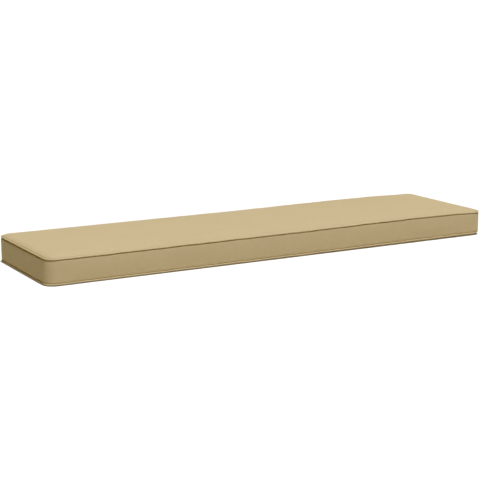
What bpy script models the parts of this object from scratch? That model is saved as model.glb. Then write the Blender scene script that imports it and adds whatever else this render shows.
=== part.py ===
"""Box-edge bench cushion: one filled, welted body and two piping rings, lying on its bottom panel.

Metres, +Z up, +X along the cushion. The origin is on the resting surface, under the middle of the cushion.
"""
import bmesh
import bpy
import math
import numpy

# Seam line: the rounded rectangle along which the panels, the piping and the boxing strip are sewn.
SEAM_LENGTH = 1.524
SEAM_WIDTH = 0.3937
CORNER_RADIUS = 0.031
PIPING_DIAMETER = 0.0050

# Heights of the two piping centre lines, and of the flat part of the top panel.
BOTTOM_SEAM_HEIGHT = 0.0062
TOP_SEAM_HEIGHT = 0.0761
TOP_SHOULDER_HEIGHT = 0.0836
TOP_CROWN_RISE = 0.0026

# How the seams and the top panel wander in height along the cushion: the filling is fuller towards
# the right, and the top seam is drawn down by the right end and beside the left corners. Columns:
# place along the length (-1 left end, 1 right end), rise.
TOP_SEAM_WANDER = (
    (-1.00, 0.0007),
    (-0.96, -0.0003),
    (-0.88, -0.0006),
    (-0.78, -0.0003),
    (-0.55, 0.0005),
    (-0.20, 0.0011),
    (0.10, 0.0015),
    (0.42, 0.0036),
    (0.64, 0.0040),
    (0.82, 0.0033),
    (1.00, -0.0009),
)
BOTTOM_SEAM_WANDER = (
    (-1.00, -0.0011),
    (0.00, 0.0000),
    (1.00, 0.0024),
)
TOP_PANEL_WANDER = (
    (-1.00, 0.0008),
    (-0.30, 0.0004),
    (0.10, -0.0002),
    (0.42, -0.0014),
    (0.64, -0.0018),
    (0.82, -0.0006),
    (1.00, -0.0004),
)

# Top panel near its seam. Columns: distance in from the seam line, share of the rise from the
# groove's lip to the shoulder.
TOP_SHOULDER = (
    (0.0038, 0.20),
    (0.0058, 0.42),
    (0.0088, 0.67),
    (0.0130, 0.86),
    (0.0185, 0.96),
    (0.0260, 1.00),
)

# Top panel further in. Columns: distance in from the seam line, share of the crown's rise.
TOP_CROWN = (
    (0.062, 0.42),
    (0.095, 0.72),
    (0.130, 0.91),
    (0.165, 1.00),
)

# Boxing strip. Columns: share of the height between the seams, bulge out of the seam line.
BOXING = (
    (0.048, 0.0010),
    (0.062, 0.0020),
    (0.092, 0.0023),
    (0.160, 0.0025),
    (0.290, 0.0027),
    (0.500, 0.0028),
    (0.710, 0.0027),
    (0.840, 0.0026),
    (0.908, 0.0024),
    (0.935, 0.0018),
    (0.952, 0.0008),
)

# Bottom panel, from its seam in to the part that rests. Columns: distance in, share of the seam's height.
BOTTOM_SHOULDER = (
    (0.0036, 0.46),
    (0.0058, 0.24),
    (0.0095, 0.10),
    (0.0150, 0.03),
    (0.0220, 0.00),
    (0.1650, 0.00),
)

# The groove in which each piping ring sits, around the piping's centre line. Angles are degrees from
# straight out of the side, in the order in which the section runs up the cushion.
GROOVE_RADIUS = 0.0031
BOTTOM_GROOVE_ANGLES = (215, 190, 158, 120)
TOP_GROOVE_ANGLES = (240, 202, 170, 145)

SMALLEST_CORNER = 0.010
CORNER_STEPS = 8
LONG_SIDE_STEPS = 28
SHORT_SIDE_STEPS = 8

COVER_COLOUR = (0.480, 0.395, 0.253)
PIPING_COLOUR = (0.505, 0.416, 0.266)
FABRIC_ROUGHNESS = 0.88
SHARP_ANGLE = math.radians(40)


def clear_scene():
    for old in list(bpy.data.objects):
        bpy.data.objects.remove(old, do_unlink=True)


def make_fabric(name, colour):
    fabric = bpy.data.materials.new(name)
    fabric.use_nodes = True
    shader = fabric.node_tree.nodes["Principled BSDF"]
    shader.inputs["Base Color"].default_value = (*colour, 1.0)
    shader.inputs["Roughness"].default_value = FABRIC_ROUGHNESS
    shader.inputs["Metallic"].default_value = 0.0
    fabric.diffuse_color = (*colour, 1.0)
    return fabric


def along(table, x):
    """A table's rise at a place along the cushion."""
    places, rises = zip(*table)
    return float(numpy.interp(x / (SEAM_LENGTH / 2), places, rises))


def bottom_seam(x):
    return BOTTOM_SEAM_HEIGHT + along(BOTTOM_SEAM_WANDER, x)


def top_seam(x):
    return TOP_SEAM_HEIGHT + along(TOP_SEAM_WANDER, x)


def top_shoulder(x):
    return TOP_SHOULDER_HEIGHT + along(TOP_PANEL_WANDER, x)


def between(low, high, share):
    return low + (high - low) * share


def outline(inset):
    """Points of the seam's rounded rectangle, moved in by inset (or out, where it is negative)."""
    half_length = SEAM_LENGTH / 2 - inset
    half_width = SEAM_WIDTH / 2 - inset
    radius = max(CORNER_RADIUS - inset, SMALLEST_CORNER)
    # Each row: the corner's arc centre, the angle where its arc starts, steps of the side after it.
    corners = (
        (half_length - radius, -half_width + radius, -90, SHORT_SIDE_STEPS),
        (half_length - radius, half_width - radius, 0, LONG_SIDE_STEPS),
        (-half_length + radius, half_width - radius, 90, SHORT_SIDE_STEPS),
        (-half_length + radius, -half_width + radius, 180, LONG_SIDE_STEPS),
    )
    points = []
    for index, (centre_x, centre_y, start, side_steps) in enumerate(corners):
        for step in range(CORNER_STEPS + 1):
            angle = math.radians(start + 90 * step / CORNER_STEPS)
            points.append((centre_x + radius * math.cos(angle), centre_y + radius * math.sin(angle)))
        next_x, next_y, next_start, _ = corners[(index + 1) % len(corners)]
        next_angle = math.radians(next_start)
        side_start = points[-1]
        side_end = (next_x + radius * math.cos(next_angle), next_y + radius * math.sin(next_angle))
        for step in range(1, side_steps):
            share = step / side_steps
            points.append(tuple(between(a, b, share) for a, b in zip(side_start, side_end)))
    return points


def ring(inset, height):
    """One ring of points round the cushion; height is a function of the place along its length."""
    return [(x, y, height(x)) for x, y in outline(inset)]


def groove_point(angle):
    """Distance out of the seam line and height above it, of a point on the groove round the piping."""
    turn = math.radians(angle)
    return GROOVE_RADIUS * math.cos(turn), GROOVE_RADIUS * math.sin(turn)


def body_rings():
    """The body's section carried round the seam line: resting face, boxing, then the crown."""
    rings = []
    for inset, share in reversed(BOTTOM_SHOULDER):
        rings.append(ring(inset, lambda x: bottom_seam(x) * share))
    for out, up in map(groove_point, BOTTOM_GROOVE_ANGLES):
        rings.append(ring(-out, lambda x: bottom_seam(x) + up))
    for share, bulge in BOXING:
        rings.append(ring(-bulge, lambda x: between(bottom_seam(x), top_seam(x), share)))
    for out, up in map(groove_point, TOP_GROOVE_ANGLES):
        rings.append(ring(-out, lambda x: top_seam(x) + up))
    lip = groove_point(TOP_GROOVE_ANGLES[-1])[1]
    for inset, share in TOP_SHOULDER:
        rings.append(ring(inset, lambda x: between(top_seam(x) + lip, top_shoulder(x), share)))
    for inset, share in TOP_CROWN:
        rings.append(ring(inset, lambda x: top_shoulder(x) + TOP_CROWN_RISE * share))
    return rings


def build_body(name, material):
    """Bridge the rings into one skin and close it with the bottom and top panels' middles."""
    body = bmesh.new()
    loops = []
    for points in body_rings():
        corners = [body.verts.new(point) for point in points]
        edges = [body.edges.new((a, b)) for a, b in zip(corners, corners[1:] + corners[:1])]
        loops.append((corners, edges))
    for (_, lower), (_, upper) in zip(loops, loops[1:]):
        bmesh.ops.bridge_loops(body, edges=lower + upper)
    body.faces.new(loops[0][0])
    body.faces.new(loops[-1][0])
    bmesh.ops.recalc_face_normals(body, faces=body.faces)
    mesh = bpy.data.meshes.new(name)
    body.to_mesh(mesh)
    body.free()
    mesh.shade_smooth()
    mesh.set_sharp_from_angle(angle=SHARP_ANGLE)
    mesh.materials.append(material)
    cushion = bpy.data.objects.new(name, mesh)
    bpy.context.collection.objects.link(cushion)
    return cushion


def build_piping(name, height, material):
    """A closed welt cord along the seam line."""
    curve = bpy.data.curves.new(name, "CURVE")
    curve.dimensions = "3D"
    curve.twist_mode = "Z_UP"
    curve.bevel_depth = PIPING_DIAMETER / 2
    curve.bevel_resolution = 3
    points = ring(0.0, height)
    cord = curve.splines.new("POLY")
    cord.points.add(len(points) - 1)
    for point, place in zip(cord.points, points):
        point.co = (*place, 1.0)
    cord.use_cyclic_u = True
    cord.use_smooth = True
    curve.materials.append(material)
    piping = bpy.data.objects.new(name, curve)
    bpy.context.collection.objects.link(piping)
    return piping


clear_scene()
cover = make_fabric("cover_fabric", COVER_COLOUR)
welt = make_fabric("piping_fabric", PIPING_COLOUR)
build_body("cushion", cover)
build_piping("top_piping", top_seam, welt)
build_piping("bottom_piping", bottom_seam, welt)
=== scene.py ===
"""The bench cushion as it looks: a canvas cover over a foam slab, welted in both seams.

Metres, +Z up, +X along the cushion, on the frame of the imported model. The cover is drawn from a block,
puffed out by a cloth simulation and sewn down at its seams. The two piping rings lie in those seams.
"""
import math

import bmesh
import bpy
import numpy as np
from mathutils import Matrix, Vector


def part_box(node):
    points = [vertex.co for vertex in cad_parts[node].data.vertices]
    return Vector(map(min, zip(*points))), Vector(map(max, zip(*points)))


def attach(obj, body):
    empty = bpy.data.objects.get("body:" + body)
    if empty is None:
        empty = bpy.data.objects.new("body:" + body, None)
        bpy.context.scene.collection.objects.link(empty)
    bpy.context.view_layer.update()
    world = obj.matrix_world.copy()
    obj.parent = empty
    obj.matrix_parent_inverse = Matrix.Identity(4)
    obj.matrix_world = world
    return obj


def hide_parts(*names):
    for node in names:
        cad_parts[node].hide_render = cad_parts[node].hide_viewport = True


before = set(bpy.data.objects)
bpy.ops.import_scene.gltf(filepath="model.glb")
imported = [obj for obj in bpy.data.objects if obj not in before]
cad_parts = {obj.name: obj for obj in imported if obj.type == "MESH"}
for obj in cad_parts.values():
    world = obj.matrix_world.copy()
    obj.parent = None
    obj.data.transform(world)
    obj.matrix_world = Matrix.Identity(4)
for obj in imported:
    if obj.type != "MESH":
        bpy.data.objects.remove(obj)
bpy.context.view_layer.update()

# ---------------------------------------------------------------- sizes

MM = 0.001

# The seam line: a rounded rectangle, the same at the top and the bottom of the boxing. SEAM_RUN is its
# whole length, with an arc in place of the square at each corner.
PIPING_DIAMETER = 5.0 * MM
CORNER_RADIUS = 31 * MM
PIPING_LOW, PIPING_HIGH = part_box("bottom_piping")
HALF_LENGTH = (PIPING_HIGH[0] - PIPING_LOW[0] - PIPING_DIAMETER) / 2
HALF_WIDTH = (PIPING_HIGH[1] - PIPING_LOW[1] - PIPING_DIAMETER) / 2
BOTTOM_SEAM_HEIGHT = 6.2 * MM
TOP_SEAM_HEIGHT = 76.1 * MM
SEAM_RUN = 4 * (HALF_LENGTH + HALF_WIDTH) - (8 - 2 * math.pi) * CORNER_RADIUS

# How the seams and the top panel wander in height: the filling is fuller towards the right, and the
# top seam is drawn down by the right end and beside the left corners. Columns: place along the length
# (-1 left end, 1 right end), rise.
TOP_SEAM_WANDER = (
    (-1.00, 0.7 * MM),
    (-0.96, -0.35 * MM),
    (-0.88, -0.6 * MM),
    (-0.78, -0.3 * MM),
    (-0.55, 0.5 * MM),
    (-0.20, 1.1 * MM),
    (0.10, 1.5 * MM),
    (0.42, 3.6 * MM),
    (0.64, 4.0 * MM),
    (0.82, 3.3 * MM),
    (1.00, -0.9 * MM),
)
BOTTOM_SEAM_WANDER = (
    (-1.00, -1.1 * MM),
    (0.00, 0.0 * MM),
    (1.00, 2.4 * MM),
)
TOP_PANEL_WANDER = (
    (-1.00, 0.8 * MM),
    (-0.30, 0.4 * MM),
    (0.10, -0.2 * MM),
    (0.42, -1.4 * MM),
    (0.64, -1.8 * MM),
    (0.82, -0.6 * MM),
    (1.00, -0.4 * MM),
)

# The cover's section before it is puffed out. Columns: distance out of the seam line, distance past
# the seam's height towards its panel. The piping lies in the hollow that ends the first two tables.
# The block that the section starts from spans the heights in BOXING_MIDDLE.
BOXING_BULGE = 2.4 * MM
BOXING_MIDDLE = (35 * MM, 47 * MM)
BY_TOP_SEAM = (
    (2.35 * MM, -20.0 * MM),
    (2.35 * MM, -11.0 * MM),
    (2.2 * MM, -6.2 * MM),
    (1.8 * MM, -4.4 * MM),
    (0.9 * MM, -3.4 * MM),
    (-0.3 * MM, -2.9 * MM),
    (-1.7 * MM, -2.5 * MM),
    (-2.5 * MM, -1.3 * MM),
    (-2.65 * MM, 0.6 * MM),
    (-2.8 * MM, 1.9 * MM),
)
BY_BOTTOM_SEAM = (
    (2.35 * MM, -20.0 * MM),
    (2.35 * MM, -11.0 * MM),
    (2.3 * MM, -6.4 * MM),
    (2.0 * MM, -4.2 * MM),
    (1.3 * MM, -3.0 * MM),
    (0.0 * MM, -2.5 * MM),
    (-1.6 * MM, -2.0 * MM),
    (-2.4 * MM, -1.0 * MM),
    (-2.6 * MM, 0.6 * MM),
    (-2.8 * MM, 1.9 * MM),
)
TOP_SHOULDER = (
    (-3.6 * MM, 2.9 * MM),
    (-5.6 * MM, 4.2 * MM),
    (-8.6 * MM, 5.5 * MM),
    (-13.0 * MM, 6.5 * MM),
    (-18.5 * MM, 7.0 * MM),
    (-25.0 * MM, 7.1 * MM),
)
BOTTOM_SHOULDER = (
    (-3.0 * MM, 2.9 * MM),
    (-3.8 * MM, 4.0 * MM),
    (-5.8 * MM, 5.0 * MM),
    (-9.5 * MM, 5.7 * MM),
    (-15.0 * MM, 6.1 * MM),
    (-22.0 * MM, 6.2 * MM),
)

# How much each height on the cover follows its seams. Columns: height, share.
FOLLOWS_TOP_SEAM = (
    (BOTTOM_SEAM_HEIGHT + 1 * MM, 0.0),
    (TOP_SEAM_HEIGHT - 1 * MM, 1.0),
    (TOP_SEAM_HEIGHT + 2 * MM, 1.0),
    (TOP_SEAM_HEIGHT + 7.1 * MM, 0.0),
)
FOLLOWS_BOTTOM_SEAM = (
    (0.0, 0.0),
    (BOTTOM_SEAM_HEIGHT - 2 * MM, 1.0),
    (BOTTOM_SEAM_HEIGHT + 1 * MM, 1.0),
    (TOP_SEAM_HEIGHT - 1 * MM, 0.0),
)

# The slow rise of the top panel. It starts and ends this far in from the seam line.
CROWN_RISE = 1.5 * MM
CROWN_FROM, CROWN_TO = 27 * MM, 165 * MM

# Small waves of the sewn seams. Columns: waves round the cushion, height, phase.
SEAM_WAVES = (
    (23, 0.22 * MM, 0.4),
    (41, 0.16 * MM, 2.1),
    (67, 0.12 * MM, 4.4),
)

# What is sewn down: points more than SEWN_IN in from the seam line, within this height of the seam.
SEWN_IN = 2.3 * MM
SEWN_WITHIN = 1.6 * MM

# The cloth simulation. The canvas is cut a little full, by CUT_FULL of its size, and the point that
# moves most ends PUFF_CAP from where it was, with all others in proportion.
PUFF_FRAMES = 20
PUFF_CAP = 2.4 * MM
CUT_FULL = 0.002
CANVAS_CLOTH = {
    "quality": 5,
    "mass": 0.3,
    "tension_stiffness": 20,
    "compression_stiffness": 8,
    "shear_stiffness": 6,
    "bending_stiffness": 3.0,
    "use_pressure": True,
    "uniform_pressure_force": 1.0,
    "shrink_min": -CUT_FULL,
}

# The cover's faces round a corner and along its sides, before it is subdivided once.
CORNER_SEGMENTS = 6
LONG_SIDE_CUTS = 118
SHORT_SIDE_CUTS = 27

# The piping's own faces, and its lumps. Columns: lumps round the cushion, height, phase.
PIPING_CORNER_SEGMENTS = 16
PIPING_LONG_CUTS = 487
PIPING_SHORT_CUTS = 110
PIPING_SIDES = 16
PIPING_LUMPS = (
    (97, 0.05 * MM, 1.0),
    (173, 0.04 * MM, 3.0),
    (611, 0.03 * MM, 5.0),
)

# How edges and faces are told apart while modelling: edges that run farther than these up, or along a
# straight side; edges this close to a height; and faces whose normal is this near to upright.
UPRIGHT_EDGE = 1 * MM
SIDE_EDGE = 100 * MM
SAME_HEIGHT = 0.1 * MM
LEVEL_FACE = 0.9

# ---------------------------------------------------------------- finish and light

# The names of what a piece's mesh carries for its finish.
CLOTH_MAP = "cloth"
SEAM_SHADE_ATTRIBUTE = "by_seam"

# The painted shade beside the seams, a darkening of the colour where shade falls by the piping: how far
# it reaches over a panel and over the boxing, how dark it is.
SEAM_SHADE_ON_PANEL = 22 * MM
SEAM_SHADE_ON_BOXING = 4 * MM
SEAM_SHADE = 0.10

# The weave. A thread's dip at its crossings and its mean height are shares of THREAD_RELIEF, and
# THREAD_TONE is how far its height shades the colour.
THREAD_PITCH = 1.1 * MM
THREAD_RELIEF = 0.12 * MM
THREAD_DIP = 0.4
THREAD_MEAN = 0.7
THREAD_TONE = 0.10
RELIEF_STRENGTH = 0.5

# Slubs, the thick and thin places of each thread, and faint scuffs. THREADS_APART keeps the slubs of
# one thread out of the next, and SLUB_LENGTH is counted in threads. A noise wavers about its middle.
THREADS_APART = 7.31
SLUB_LENGTH = 22
SLUB_TONE = 0.16
SLUB_RELIEF = 0.5
SCUFFS_PER_METRE = 9.0
SCUFF_TONE = 0.05
NOISE_MIDDLE = 0.5

# The canvas itself. Its threads are rougher on top, and the piping is cut on the bias.
COVER_COLOUR = (0.480, 0.3965, 0.257)
PIPING_COLOUR = (0.500, 0.413, 0.268)
BIAS = math.radians(45)
CANVAS_ROUGHNESS = 0.86
THREAD_ROUGHNESS = 0.08
CANVAS_SHEEN = {
    "Specular IOR Level": 0.15,
    "Sheen Weight": 0.08,
    "Sheen Roughness": 0.45,
    "Sheen Tint": (1.0, 0.84, 0.58, 1.0),
}

# The floor runs out to the horizon. It glows a little, as a light table does, which lightens the gap
# under the cushion.
FLOOR_RADIUS = 60.0
FLOOR_SIDES = 64
FLOOR_DROP = 0.2 * MM
FLOOR_COLOUR = (0.69, 0.677, 0.659, 1.0)
FLOOR_GLOW = (0.110, 0.108, 0.105, 1.0)

# A soft key from almost overhead and a low fill from the front. Columns: name, the direction that it
# comes from, strength, its width in the sky.
LAMPS = (
    ("key", (0.0, -0.135, 0.98), 4.17, math.radians(6)),
    ("fill", (0.10, -0.97, 0.08), 0.61, math.radians(12)),
)

# The surround: a pale band above the horizon, under a dim sky. Columns: sine of the height, colour.
SURROUND = (
    (0.00, (0.66, 0.65, 0.63)),
    (0.14, (0.66, 0.65, 0.63)),
    (0.20, (0.05, 0.05, 0.05)),
    (1.00, (0.03, 0.03, 0.03)),
)

# The tone that shows as black, which makes the shade a little deeper than the light alone does.
DARKEST = 0.085

# ---------------------------------------------------------------- camera

# The camera looks at AIM from CAMERA_DISTANCE, turned round the cushion and tipped down. It then moves
# left and down by AIM_RIGHT and AIM_UP, which puts AIM that far right and up in the picture.
PICTURE_SIDE = 480
FOCAL_PIXELS = 1302.84
SENSOR_WIDTH = 36.0
CAMERA_YAW = math.radians(29.403)
CAMERA_PITCH = math.radians(11.566)
CAMERA_DISTANCE = 4.1085
CLIP_END = 200.0
AIM = Vector((0.0, 0.0, 0.04))
AIM_RIGHT, AIM_UP = 37.5 * MM, 18.0 * MM


def put_camera():
    camera = bpy.data.objects.new("camera", bpy.data.cameras.new("camera"))
    bpy.context.collection.objects.link(camera)
    camera.rotation_euler = (math.pi / 2 - CAMERA_PITCH, 0.0, -CAMERA_YAW)
    turn = camera.rotation_euler.to_matrix()
    camera.location = AIM + turn @ Vector((-AIM_RIGHT, -AIM_UP, CAMERA_DISTANCE))
    camera.data.sensor_width = SENSOR_WIDTH
    camera.data.lens = SENSOR_WIDTH * FOCAL_PIXELS / PICTURE_SIDE
    camera.data.clip_end = CLIP_END
    bpy.context.scene.camera = camera


# ---------------------------------------------------------------- modelling helpers


def start_edit(piece):
    bpy.ops.object.select_all(action="DESELECT")
    bpy.context.view_layer.objects.active = piece
    piece.select_set(True)
    bpy.ops.object.mode_set(mode="EDIT")
    bpy.ops.mesh.select_all(action="DESELECT")


def end_edit():
    bpy.ops.object.mode_set(mode="OBJECT")


def select(piece, kind, test):
    """Select the edges or faces of a piece in edit mode that pass a test."""
    modes = {"edges": "EDGE", "faces": "FACE"}
    bpy.ops.mesh.select_mode(type=modes[kind])
    bpy.ops.mesh.select_all(action="DESELECT")
    mesh = bmesh.from_edit_mesh(piece.data)
    for part in getattr(mesh, kind):
        if test(part):
            part.select_set(True)
    bmesh.update_edit_mesh(piece.data)


def reach(edge, axis):
    """How far an edge runs along one axis."""
    start, end = edge.verts
    return abs(start.co[axis] - end.co[axis])


def cut_sides(piece, long_cuts, short_cuts):
    """Cut the straight sides of a rounded rectangle, in edit mode, into even steps."""
    for axis, cuts in ((0, long_cuts), (1, short_cuts)):
        select(piece, "edges", lambda edge: reach(edge, axis) > SIDE_EDGE)
        bpy.ops.mesh.subdivide(number_cuts=cuts)


def points_of(piece):
    places = np.empty(len(piece.data.vertices) * 3)
    piece.data.vertices.foreach_get("co", places)
    return places.reshape(-1, 3)


def move_points(piece, places):
    piece.data.vertices.foreach_set("co", places.ravel())
    piece.data.update()


def face_corners(mesh):
    """For each face, the points at its four corners."""
    corners = np.empty(len(mesh.loops), int)
    mesh.loops.foreach_get("vertex_index", corners)
    return corners.reshape(-1, 4)


def lay_on_map(mesh, lay):
    """Give a mesh its cloth map, from the place of each corner of each face."""
    cloth_map = mesh.uv_layers.new(name=CLOTH_MAP)
    cloth_map.data.foreach_set("uv", lay.ravel())


def unroll(values, run):
    """Let no face reach across the end of a closed run."""
    wraps = np.ptp(values, axis=1, keepdims=True) > run / 2
    return np.where(wraps & (values < run / 2), values + run, values)


# ---------------------------------------------------------------- the seam line


def round_the_seam(x, y):
    """How far round the seam line, and how far in from it, each point lies in plan.

    The way round starts at the middle of the right end and runs through the back right corner.
    """
    core_x = HALF_LENGTH - CORNER_RADIUS
    core_y = HALF_WIDTH - CORNER_RADIUS
    over_x = np.abs(x) - core_x
    over_y = np.abs(y) - core_y
    turn = np.arctan2(np.maximum(over_y, 0), np.maximum(over_x, 1e-9))
    inset = CORNER_RADIUS - np.hypot(np.maximum(over_x, 0), np.maximum(over_y, 0))
    inset = np.where((over_x <= 0) & (over_y <= 0), CORNER_RADIUS + np.minimum(-over_x, -over_y), inset)

    # The way round within one quarter of the cushion, and then in the other three.
    on_end = over_x > over_y
    end = np.minimum(np.abs(y), core_y)
    side = core_x - np.minimum(np.abs(x), core_x)
    quarter = core_y + core_x + CORNER_RADIUS * math.pi / 2
    along = np.where(on_end | (over_x > 0), end + CORNER_RADIUS * turn, quarter - core_x + side)
    along = np.where((x < 0) & (y >= 0), 2 * quarter - along, along)
    along = np.where((x < 0) & (y < 0), 2 * quarter + along, along)
    along = np.where((x >= 0) & (y < 0), 4 * quarter - along, along)
    return along, inset


def waves(along, table):
    """A closed run of small waves round the seam line."""
    turn = along / SEAM_RUN * 2 * math.pi
    return sum(height * np.sin(count * turn + phase) for count, height, phase in table)


def top_seam_rise(x, along):
    return np.interp(x / HALF_LENGTH, *zip(*TOP_SEAM_WANDER)) + waves(along, SEAM_WAVES)


def bottom_seam_rise(x, along):
    return np.interp(x / HALF_LENGTH, *zip(*BOTTOM_SEAM_WANDER)) + waves(along, SEAM_WAVES)


def seam_heights(x, along):
    """The heights of the bottom seam and of the top seam."""
    bottom = BOTTOM_SEAM_HEIGHT + bottom_seam_rise(x, along)
    top = TOP_SEAM_HEIGHT + top_seam_rise(x, along)
    return bottom, top


# ---------------------------------------------------------------- the cover


def cover_block():
    """A block with rounded corners whose top and bottom are drawn in, step by step, to the two panels."""
    low, high = BOXING_MIDDLE
    bpy.ops.object.select_all(action="DESELECT")
    bpy.ops.mesh.primitive_cube_add(size=1, location=(0, 0, (low + high) / 2))
    cover = bpy.context.object
    cover.name = cover.data.name = "cover"
    cover.scale = (2 * (HALF_LENGTH + BOXING_BULGE), 2 * (HALF_WIDTH + BOXING_BULGE), high - low)
    bpy.ops.object.transform_apply(location=True, rotation=True, scale=True)

    start_edit(cover)
    select(cover, "edges", lambda edge: reach(edge, 2) > UPRIGHT_EDGE)
    bpy.ops.mesh.bevel(offset=CORNER_RADIUS + BOXING_BULGE, segments=CORNER_SEGMENTS, affect="EDGES")
    select(cover, "faces", lambda face: abs(face.normal.z) > LEVEL_FACE)
    bpy.ops.mesh.delete(type="ONLY_FACE")
    cut_sides(cover, LONG_SIDE_CUTS, SHORT_SIDE_CUTS)
    for level, to_seam, section in (
        (high, TOP_SEAM_HEIGHT - high, BY_TOP_SEAM + TOP_SHOULDER),
        (low, low - BOTTOM_SEAM_HEIGHT, BY_BOTTOM_SEAM + BOTTOM_SHOULDER),
    ):
        select(cover, "edges", lambda edge: all(abs(v.co.z - level) < SAME_HEIGHT for v in edge.verts))
        bpy.ops.mesh.edge_face_add()
        section = ((BOXING_BULGE, -to_seam), *section)
        for (out, past), (next_out, next_past) in zip(section, section[1:]):
            bpy.ops.mesh.inset(thickness=out - next_out, depth=next_past - past)
        fill_panel(cover)
    end_edit()
    return cover


def fill_panel(cover):
    """Turn the selected round-cornered face into a grid, whose corners are the middles of its arcs."""
    mesh = bmesh.from_edit_mesh(cover.data)
    panel = next(face for face in mesh.faces if face.select)
    rim = {edge.index for edge in panel.edges}
    corner = max(panel.verts, key=lambda v: v.co.x + v.co.y).index
    bpy.ops.mesh.delete(type="ONLY_FACE")
    select(cover, "edges", lambda edge: edge.index in rim)
    mesh = bmesh.from_edit_mesh(cover.data)
    mesh.verts.ensure_lookup_table()
    mesh.select_history.clear()
    mesh.select_history.add(mesh.verts[corner])
    bpy.ops.mesh.fill_grid(span=SHORT_SIDE_CUTS + 1 + CORNER_SEGMENTS, use_interp_simple=True)


def lay_seams(cover):
    """Let the seams wander in height, the boxing stretching and the shoulders giving way with them."""
    places = points_of(cover)
    along, inset = round_the_seam(places[:, 0], places[:, 1])
    height = places[:, 2].copy()
    places[:, 2] += np.interp(height, *zip(*FOLLOWS_TOP_SEAM)) * top_seam_rise(places[:, 0], along)
    places[:, 2] += np.interp(height, *zip(*FOLLOWS_BOTTOM_SEAM)) * bottom_seam_rise(places[:, 0], along)
    raised = np.clip((height - TOP_SEAM_HEIGHT) / TOP_SHOULDER[-1][1], 0, 1)
    places[:, 2] += raised * np.interp(places[:, 0] / HALF_LENGTH, *zip(*TOP_PANEL_WANDER))
    deep = np.clip((inset - CROWN_FROM) / (CROWN_TO - CROWN_FROM), 0, 1)
    places[:, 2] += CROWN_RISE * np.sin(deep * math.pi / 2) * (height > TOP_SEAM_HEIGHT)
    move_points(cover, places)


def subdivide_once(cover):
    finer = cover.modifiers.new("finer", "SUBSURF")
    finer.levels = finer.render_levels = 1
    bpy.ops.object.modifier_apply(modifier="finer")


def puff(cover):
    """Press the cover out a little from inside, as the foam does, against its seams and resting face."""
    sewn = points_of(cover)
    along, inset = round_the_seam(sewn[:, 0], sewn[:, 1])
    bottom, top = seam_heights(sewn[:, 0], along)
    near_top = np.abs(sewn[:, 2] - top) < SEWN_WITHIN
    # The bottom panel is held all over, because the cushion lies on it.
    near_bottom = sewn[:, 2] < bottom + SEWN_WITHIN
    still = np.flatnonzero((inset > SEWN_IN) & (near_top | near_bottom))
    held = cover.vertex_groups.new(name="held")
    held.add([int(point) for point in still], 1.0, "REPLACE")

    cloth = cover.modifiers.new("puff", "CLOTH")
    for name, value in CANVAS_CLOTH.items():
        setattr(cloth.settings, name, value)
    cloth.settings.vertex_group_mass = "held"
    cloth.settings.effector_weights.gravity = 0
    cloth.collision_settings.use_collision = False
    for moment in range(1, PUFF_FRAMES + 1):
        bpy.context.scene.frame_set(moment)
    bpy.context.view_layer.objects.active = cover
    bpy.ops.object.modifier_apply(modifier="puff")
    bpy.context.scene.frame_set(1)
    cover.vertex_groups.clear()

    moved = points_of(cover) - sewn
    moved *= PUFF_CAP / np.linalg.norm(moved, axis=1).max()
    move_points(cover, sewn + moved)


def map_cover(cover):
    """The cloth's own map in metres: each panel lies flat on it, and the boxing is one long strip."""
    mesh = cover.data
    places = points_of(cover)
    along, inset = round_the_seam(places[:, 0], places[:, 1])
    bottom, top = seam_heights(places[:, 0], along)
    corners = face_corners(mesh)
    height = places[corners, 2].mean(axis=1)
    boxing = (height < top[corners].mean(axis=1)) & (height > bottom[corners].mean(axis=1))
    lay = places[corners][:, :, :2]
    strip = np.stack([unroll(along[corners], SEAM_RUN), places[corners, 2]], axis=2)
    lay[boxing] = strip[boxing]
    lay_on_map(mesh, lay)

    # How near each point lies to a seam, for the painted shade beside the seams.
    on_panel = (places[:, 2] > top) | (places[:, 2] < bottom)
    up_boxing = np.minimum(top - places[:, 2], places[:, 2] - bottom)
    near = np.where(on_panel, 1 - inset / SEAM_SHADE_ON_PANEL, 1 - up_boxing / SEAM_SHADE_ON_BOXING)
    seam_shade_mask = mesh.attributes.new(SEAM_SHADE_ATTRIBUTE, "FLOAT", "POINT")
    seam_shade_mask.data.foreach_set("value", np.clip(near, 0, 1).astype(np.float32))


def make_cover():
    """The cover: cut, sewn along its seams and puffed out by the foam."""
    cover = cover_block()
    lay_seams(cover)
    subdivide_once(cover)
    puff(cover)
    map_cover(cover)
    cover.data.shade_smooth()
    cover.data.materials.append(canvas("cover_canvas", COVER_COLOUR, 0.0))
    return cover


# ---------------------------------------------------------------- the piping


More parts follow.
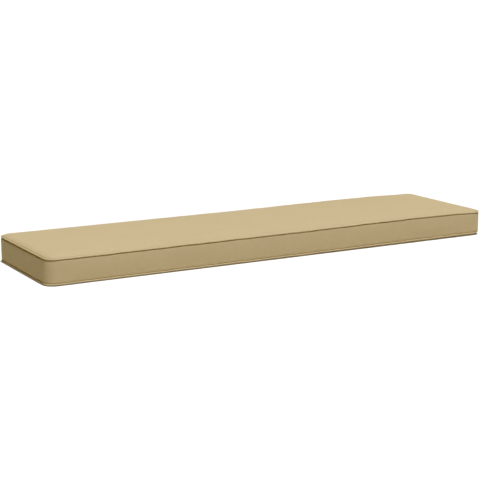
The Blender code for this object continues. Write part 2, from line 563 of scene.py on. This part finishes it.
def piping(name, height, rise):
    """A welt cord laid round the seam line, with the slight lumps of cloth wrapped on the bias."""
    bpy.ops.object.select_all(action="DESELECT")
    bpy.ops.mesh.primitive_plane_add(size=1, location=(0, 0, height))
    ring = bpy.context.object
    ring.name = ring.data.name = name
    ring.scale = (2 * HALF_LENGTH, 2 * HALF_WIDTH, 1)
    bpy.ops.object.transform_apply(location=True, rotation=True, scale=True)
    start_edit(ring)
    bpy.ops.mesh.select_all(action="SELECT")
    bpy.ops.mesh.bevel(offset=CORNER_RADIUS, segments=PIPING_CORNER_SEGMENTS, affect="VERTICES")
    bpy.ops.mesh.delete(type="ONLY_FACE")
    cut_sides(ring, PIPING_LONG_CUTS, PIPING_SHORT_CUTS)
    end_edit()
    bpy.ops.object.convert(target="CURVE")
    ring.data.bevel_depth = PIPING_DIAMETER / 2
    ring.data.bevel_resolution = PIPING_SIDES // 4 - 1
    bpy.ops.object.convert(target="MESH")
    ring = bpy.context.object

    places = points_of(ring)
    along, inset = round_the_seam(places[:, 0], places[:, 1])
    turn = np.arctan2(places[:, 2] - height, -inset)
    map_piping(ring.data, along, turn)
    swell = waves(along + turn * PIPING_DIAMETER, PIPING_LUMPS)
    normals = np.empty(len(places) * 3)
    ring.data.vertex_normals.foreach_get("vector", normals)
    places += normals.reshape(-1, 3) * swell[:, None]
    places[:, 2] += rise(places[:, 0], along)
    move_points(ring, places)
    ring.data.shade_smooth()
    return ring


def map_piping(mesh, along, turn):
    """The piping's map in metres: along it, and round it. It takes the place of the curve's own maps."""
    while mesh.uv_layers:
        mesh.uv_layers.remove(mesh.uv_layers[0])
    corners = face_corners(mesh)
    length = unroll(along[corners], SEAM_RUN)
    girth = unroll(turn[corners] + math.pi, 2 * math.pi) * PIPING_DIAMETER / 2
    lay_on_map(mesh, np.stack([length, girth], axis=2))


# ---------------------------------------------------------------- finishes


class Wire:
    """An output in a material's nodes. Python's operators on it add Math nodes."""

    def __init__(self, nodes, socket):
        self.nodes = nodes
        self.socket = socket

    def math(self, operation, *values):
        return self.nodes.add("ShaderNodeMath", {"operation": operation}, dict(enumerate(values)))

    def __add__(self, other):
        return self.math("ADD", self, other)

    def __sub__(self, other):
        return self.math("SUBTRACT", self, other)

    def __rsub__(self, other):
        return self.math("SUBTRACT", other, self)

    def __mul__(self, other):
        return self.math("MULTIPLY", self, other)

    def __truediv__(self, other):
        return self.math("DIVIDE", self, other)

    def __mod__(self, other):
        return self.math("FLOORED_MODULO", self, other)

    def __abs__(self):
        return self.math("ABSOLUTE", self)

    def __floor__(self):
        return self.math("FLOOR", self)

    def sine(self):
        return self.math("SINE", self)

    __radd__ = __add__
    __rmul__ = __mul__


class Nodes:
    """The node tree of one material, or of the world."""

    def __init__(self, tree):
        self.tree = tree
        tree.nodes.clear()

    def add(self, kind, settings=None, sockets=None, out=0):
        """Add a node: its settings first, then a value or a Wire for each named socket."""
        node = self.tree.nodes.new(kind)
        for name, value in (settings or {}).items():
            if name == "stops":
                set_stops(node.color_ramp, value)
            else:
                setattr(node, name, value)
        for name, value in (sockets or {}).items():
            if isinstance(value, Wire):
                self.tree.links.new(value.socket, node.inputs[name])
            else:
                node.inputs[name].default_value = value
        return Wire(self, node.outputs[out]) if node.outputs else None


def set_stops(ramp, stops):
    """Each stop: place, colour."""
    while len(ramp.elements) < len(stops):
        ramp.elements.new(1.0)
    for element, (place, colour) in zip(ramp.elements, stops):
        element.position = place
        element.color = (*colour, 1.0)


def new_material(name):
    material = bpy.data.materials.new(name)
    material.use_nodes = True
    return material, Nodes(material.node_tree)


def tinted(nodes, colour, light):
    """One colour, made lighter or darker by a number that varies about 1."""
    grey = nodes.add("ShaderNodeCombineColor", None, {"Red": light, "Green": light, "Blue": light})
    settings = {"data_type": "RGBA", "blend_type": "MULTIPLY", "clamp_factor": True}
    return nodes.add("ShaderNodeMix", settings, {0: 1.0, 6: (*colour, 1.0), 7: grey}, out=2)


def weave(across, down):
    """Plain weave, one thread to each whole number: its height, and where the warp lies over the weft."""
    warp = abs((across * math.pi).sine())
    weft = abs((down * math.pi).sine())
    over = (math.floor(across) + math.floor(down)) % 2.0
    lifted = over * warp * (1 - THREAD_DIP + THREAD_DIP * weft)
    crossed = (1 - over) * weft * (1 - THREAD_DIP + THREAD_DIP * warp)
    return lifted + crossed, over


def slubs(nodes, thread, run):
    """Long thick and thin places along each thread, from 0 to 1."""
    place = nodes.add("ShaderNodeCombineXYZ", None, {"X": thread * THREADS_APART, "Y": run / SLUB_LENGTH})
    return nodes.add("ShaderNodeTexNoise", {"noise_dimensions": "2D"},
                     {"Vector": place, "Scale": 1.0, "Detail": 1.0})


def scuffs(nodes):
    """Faint marks of use, larger than the weave, from 0 to 1."""
    where = nodes.add("ShaderNodeTexCoord", out="Object")
    return nodes.add("ShaderNodeTexNoise", None,
                     {"Vector": where, "Scale": SCUFFS_PER_METRE, "Detail": 4.0, "Roughness": 0.55})


def canvas(name, colour, turn):
    """Matt plain-woven canvas on the cloth's own map, faintly scuffed, with painted shade beside the
    seams.
    """
    material, nodes = new_material(name)
    cloth = nodes.add("ShaderNodeUVMap", {"uv_map": CLOTH_MAP})
    turned = nodes.add("ShaderNodeMapping", {"vector_type": "TEXTURE"},
                       {"Vector": cloth, "Rotation": (0, 0, turn)})
    across = nodes.add("ShaderNodeSeparateXYZ", None, {"Vector": turned}, out="X") / THREAD_PITCH
    down = nodes.add("ShaderNodeSeparateXYZ", None, {"Vector": turned}, out="Y") / THREAD_PITCH
    height, over = weave(across, down)
    warp_slubs = slubs(nodes, math.floor(across), down)
    weft_slubs = slubs(nodes, math.floor(down), across)
    slub = over * warp_slubs + (1 - over) * weft_slubs
    # Painted shade: the colour darkens near the seams, as if shade fell by the piping.
    seam_shade_mask = nodes.add("ShaderNodeAttribute", {"attribute_name": SEAM_SHADE_ATTRIBUTE}, out="Fac")

    slubbed = 1 + (slub - NOISE_MIDDLE) * SLUB_TONE
    scuffed = 1 + (scuffs(nodes) - NOISE_MIDDLE) * SCUFF_TONE
    threaded = 1 + (height - THREAD_MEAN) * THREAD_TONE
    seam_shaded = 1 - seam_shade_mask * SEAM_SHADE
    bump = nodes.add("ShaderNodeBump", None, {
        "Height": height + slub * SLUB_RELIEF,
        "Distance": THREAD_RELIEF,
        "Strength": RELIEF_STRENGTH,
    })
    shader = nodes.add("ShaderNodeBsdfPrincipled", None, {
        "Base Color": tinted(nodes, colour, slubbed * scuffed * threaded * seam_shaded),
        "Roughness": CANVAS_ROUGHNESS + THREAD_ROUGHNESS * height,
        "Normal": bump,
        **CANVAS_SHEEN,
    })
    nodes.add("ShaderNodeOutputMaterial", None, {"Surface": shader})
    return material


# ---------------------------------------------------------------- the studio


def pale_floor():
    bpy.ops.object.select_all(action="DESELECT")
    bpy.ops.mesh.primitive_circle_add(
        vertices=FLOOR_SIDES, radius=FLOOR_RADIUS, fill_type="NGON", location=(0, 0, -FLOOR_DROP)
    )
    floor = bpy.context.object
    floor.name = floor.data.name = "floor"
    pale, nodes = new_material("pale_floor")
    shader = nodes.add("ShaderNodeBsdfPrincipled", None, {
        "Base Color": FLOOR_COLOUR,
        "Roughness": 1.0,
        "Specular IOR Level": 0.0,
        "Emission Color": FLOOR_GLOW,
        "Emission Strength": 1.0,
    })
    nodes.add("ShaderNodeOutputMaterial", None, {"Surface": shader})
    floor.data.materials.append(pale)


def put_lamps():
    for name, direction, strength, width in LAMPS:
        lamp = bpy.data.objects.new(name, bpy.data.lights.new(name, "SUN"))
        bpy.context.collection.objects.link(lamp)
        lamp.data.energy = strength
        lamp.data.angle = width
        lamp.rotation_euler = Vector(direction).to_track_quat("Z", "Y").to_euler()


def put_surround():
    world = bpy.data.worlds.new("surround")
    bpy.context.scene.world = world
    world.use_nodes = True
    nodes = Nodes(world.node_tree)
    way = nodes.add("ShaderNodeTexCoord", out="Generated")
    up = nodes.add("ShaderNodeSeparateXYZ", None, {"Vector": way}, out="Z")
    sky = nodes.add("ShaderNodeValToRGB", {"stops": SURROUND}, {"Fac": up})
    shine = nodes.add("ShaderNodeBackground", None, {"Color": sky, "Strength": 1.0})
    nodes.add("ShaderNodeOutputWorld", None, {"Surface": shine})


def set_view():
    view = bpy.context.scene.view_settings
    view.view_transform = "Standard"
    view.use_curve_mapping = True
    view.curve_mapping.black_level = (DARKEST, DARKEST, DARKEST)
    view.curve_mapping.update()


put_camera()
cover = make_cover()
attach(cover, "root")
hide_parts("cushion")

bias_canvas = canvas("piping_canvas", PIPING_COLOUR, BIAS)
for name, node, height, rise in (
    ("top_welt", "top_piping", TOP_SEAM_HEIGHT, top_seam_rise),
    ("bottom_welt", "bottom_piping", BOTTOM_SEAM_HEIGHT, bottom_seam_rise),
):
    welt = piping(name, height, rise)
    welt.data.materials.append(bias_canvas)
    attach(welt, "root")
    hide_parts(node)

pale_floor()
put_lamps()
put_surround()
set_view()
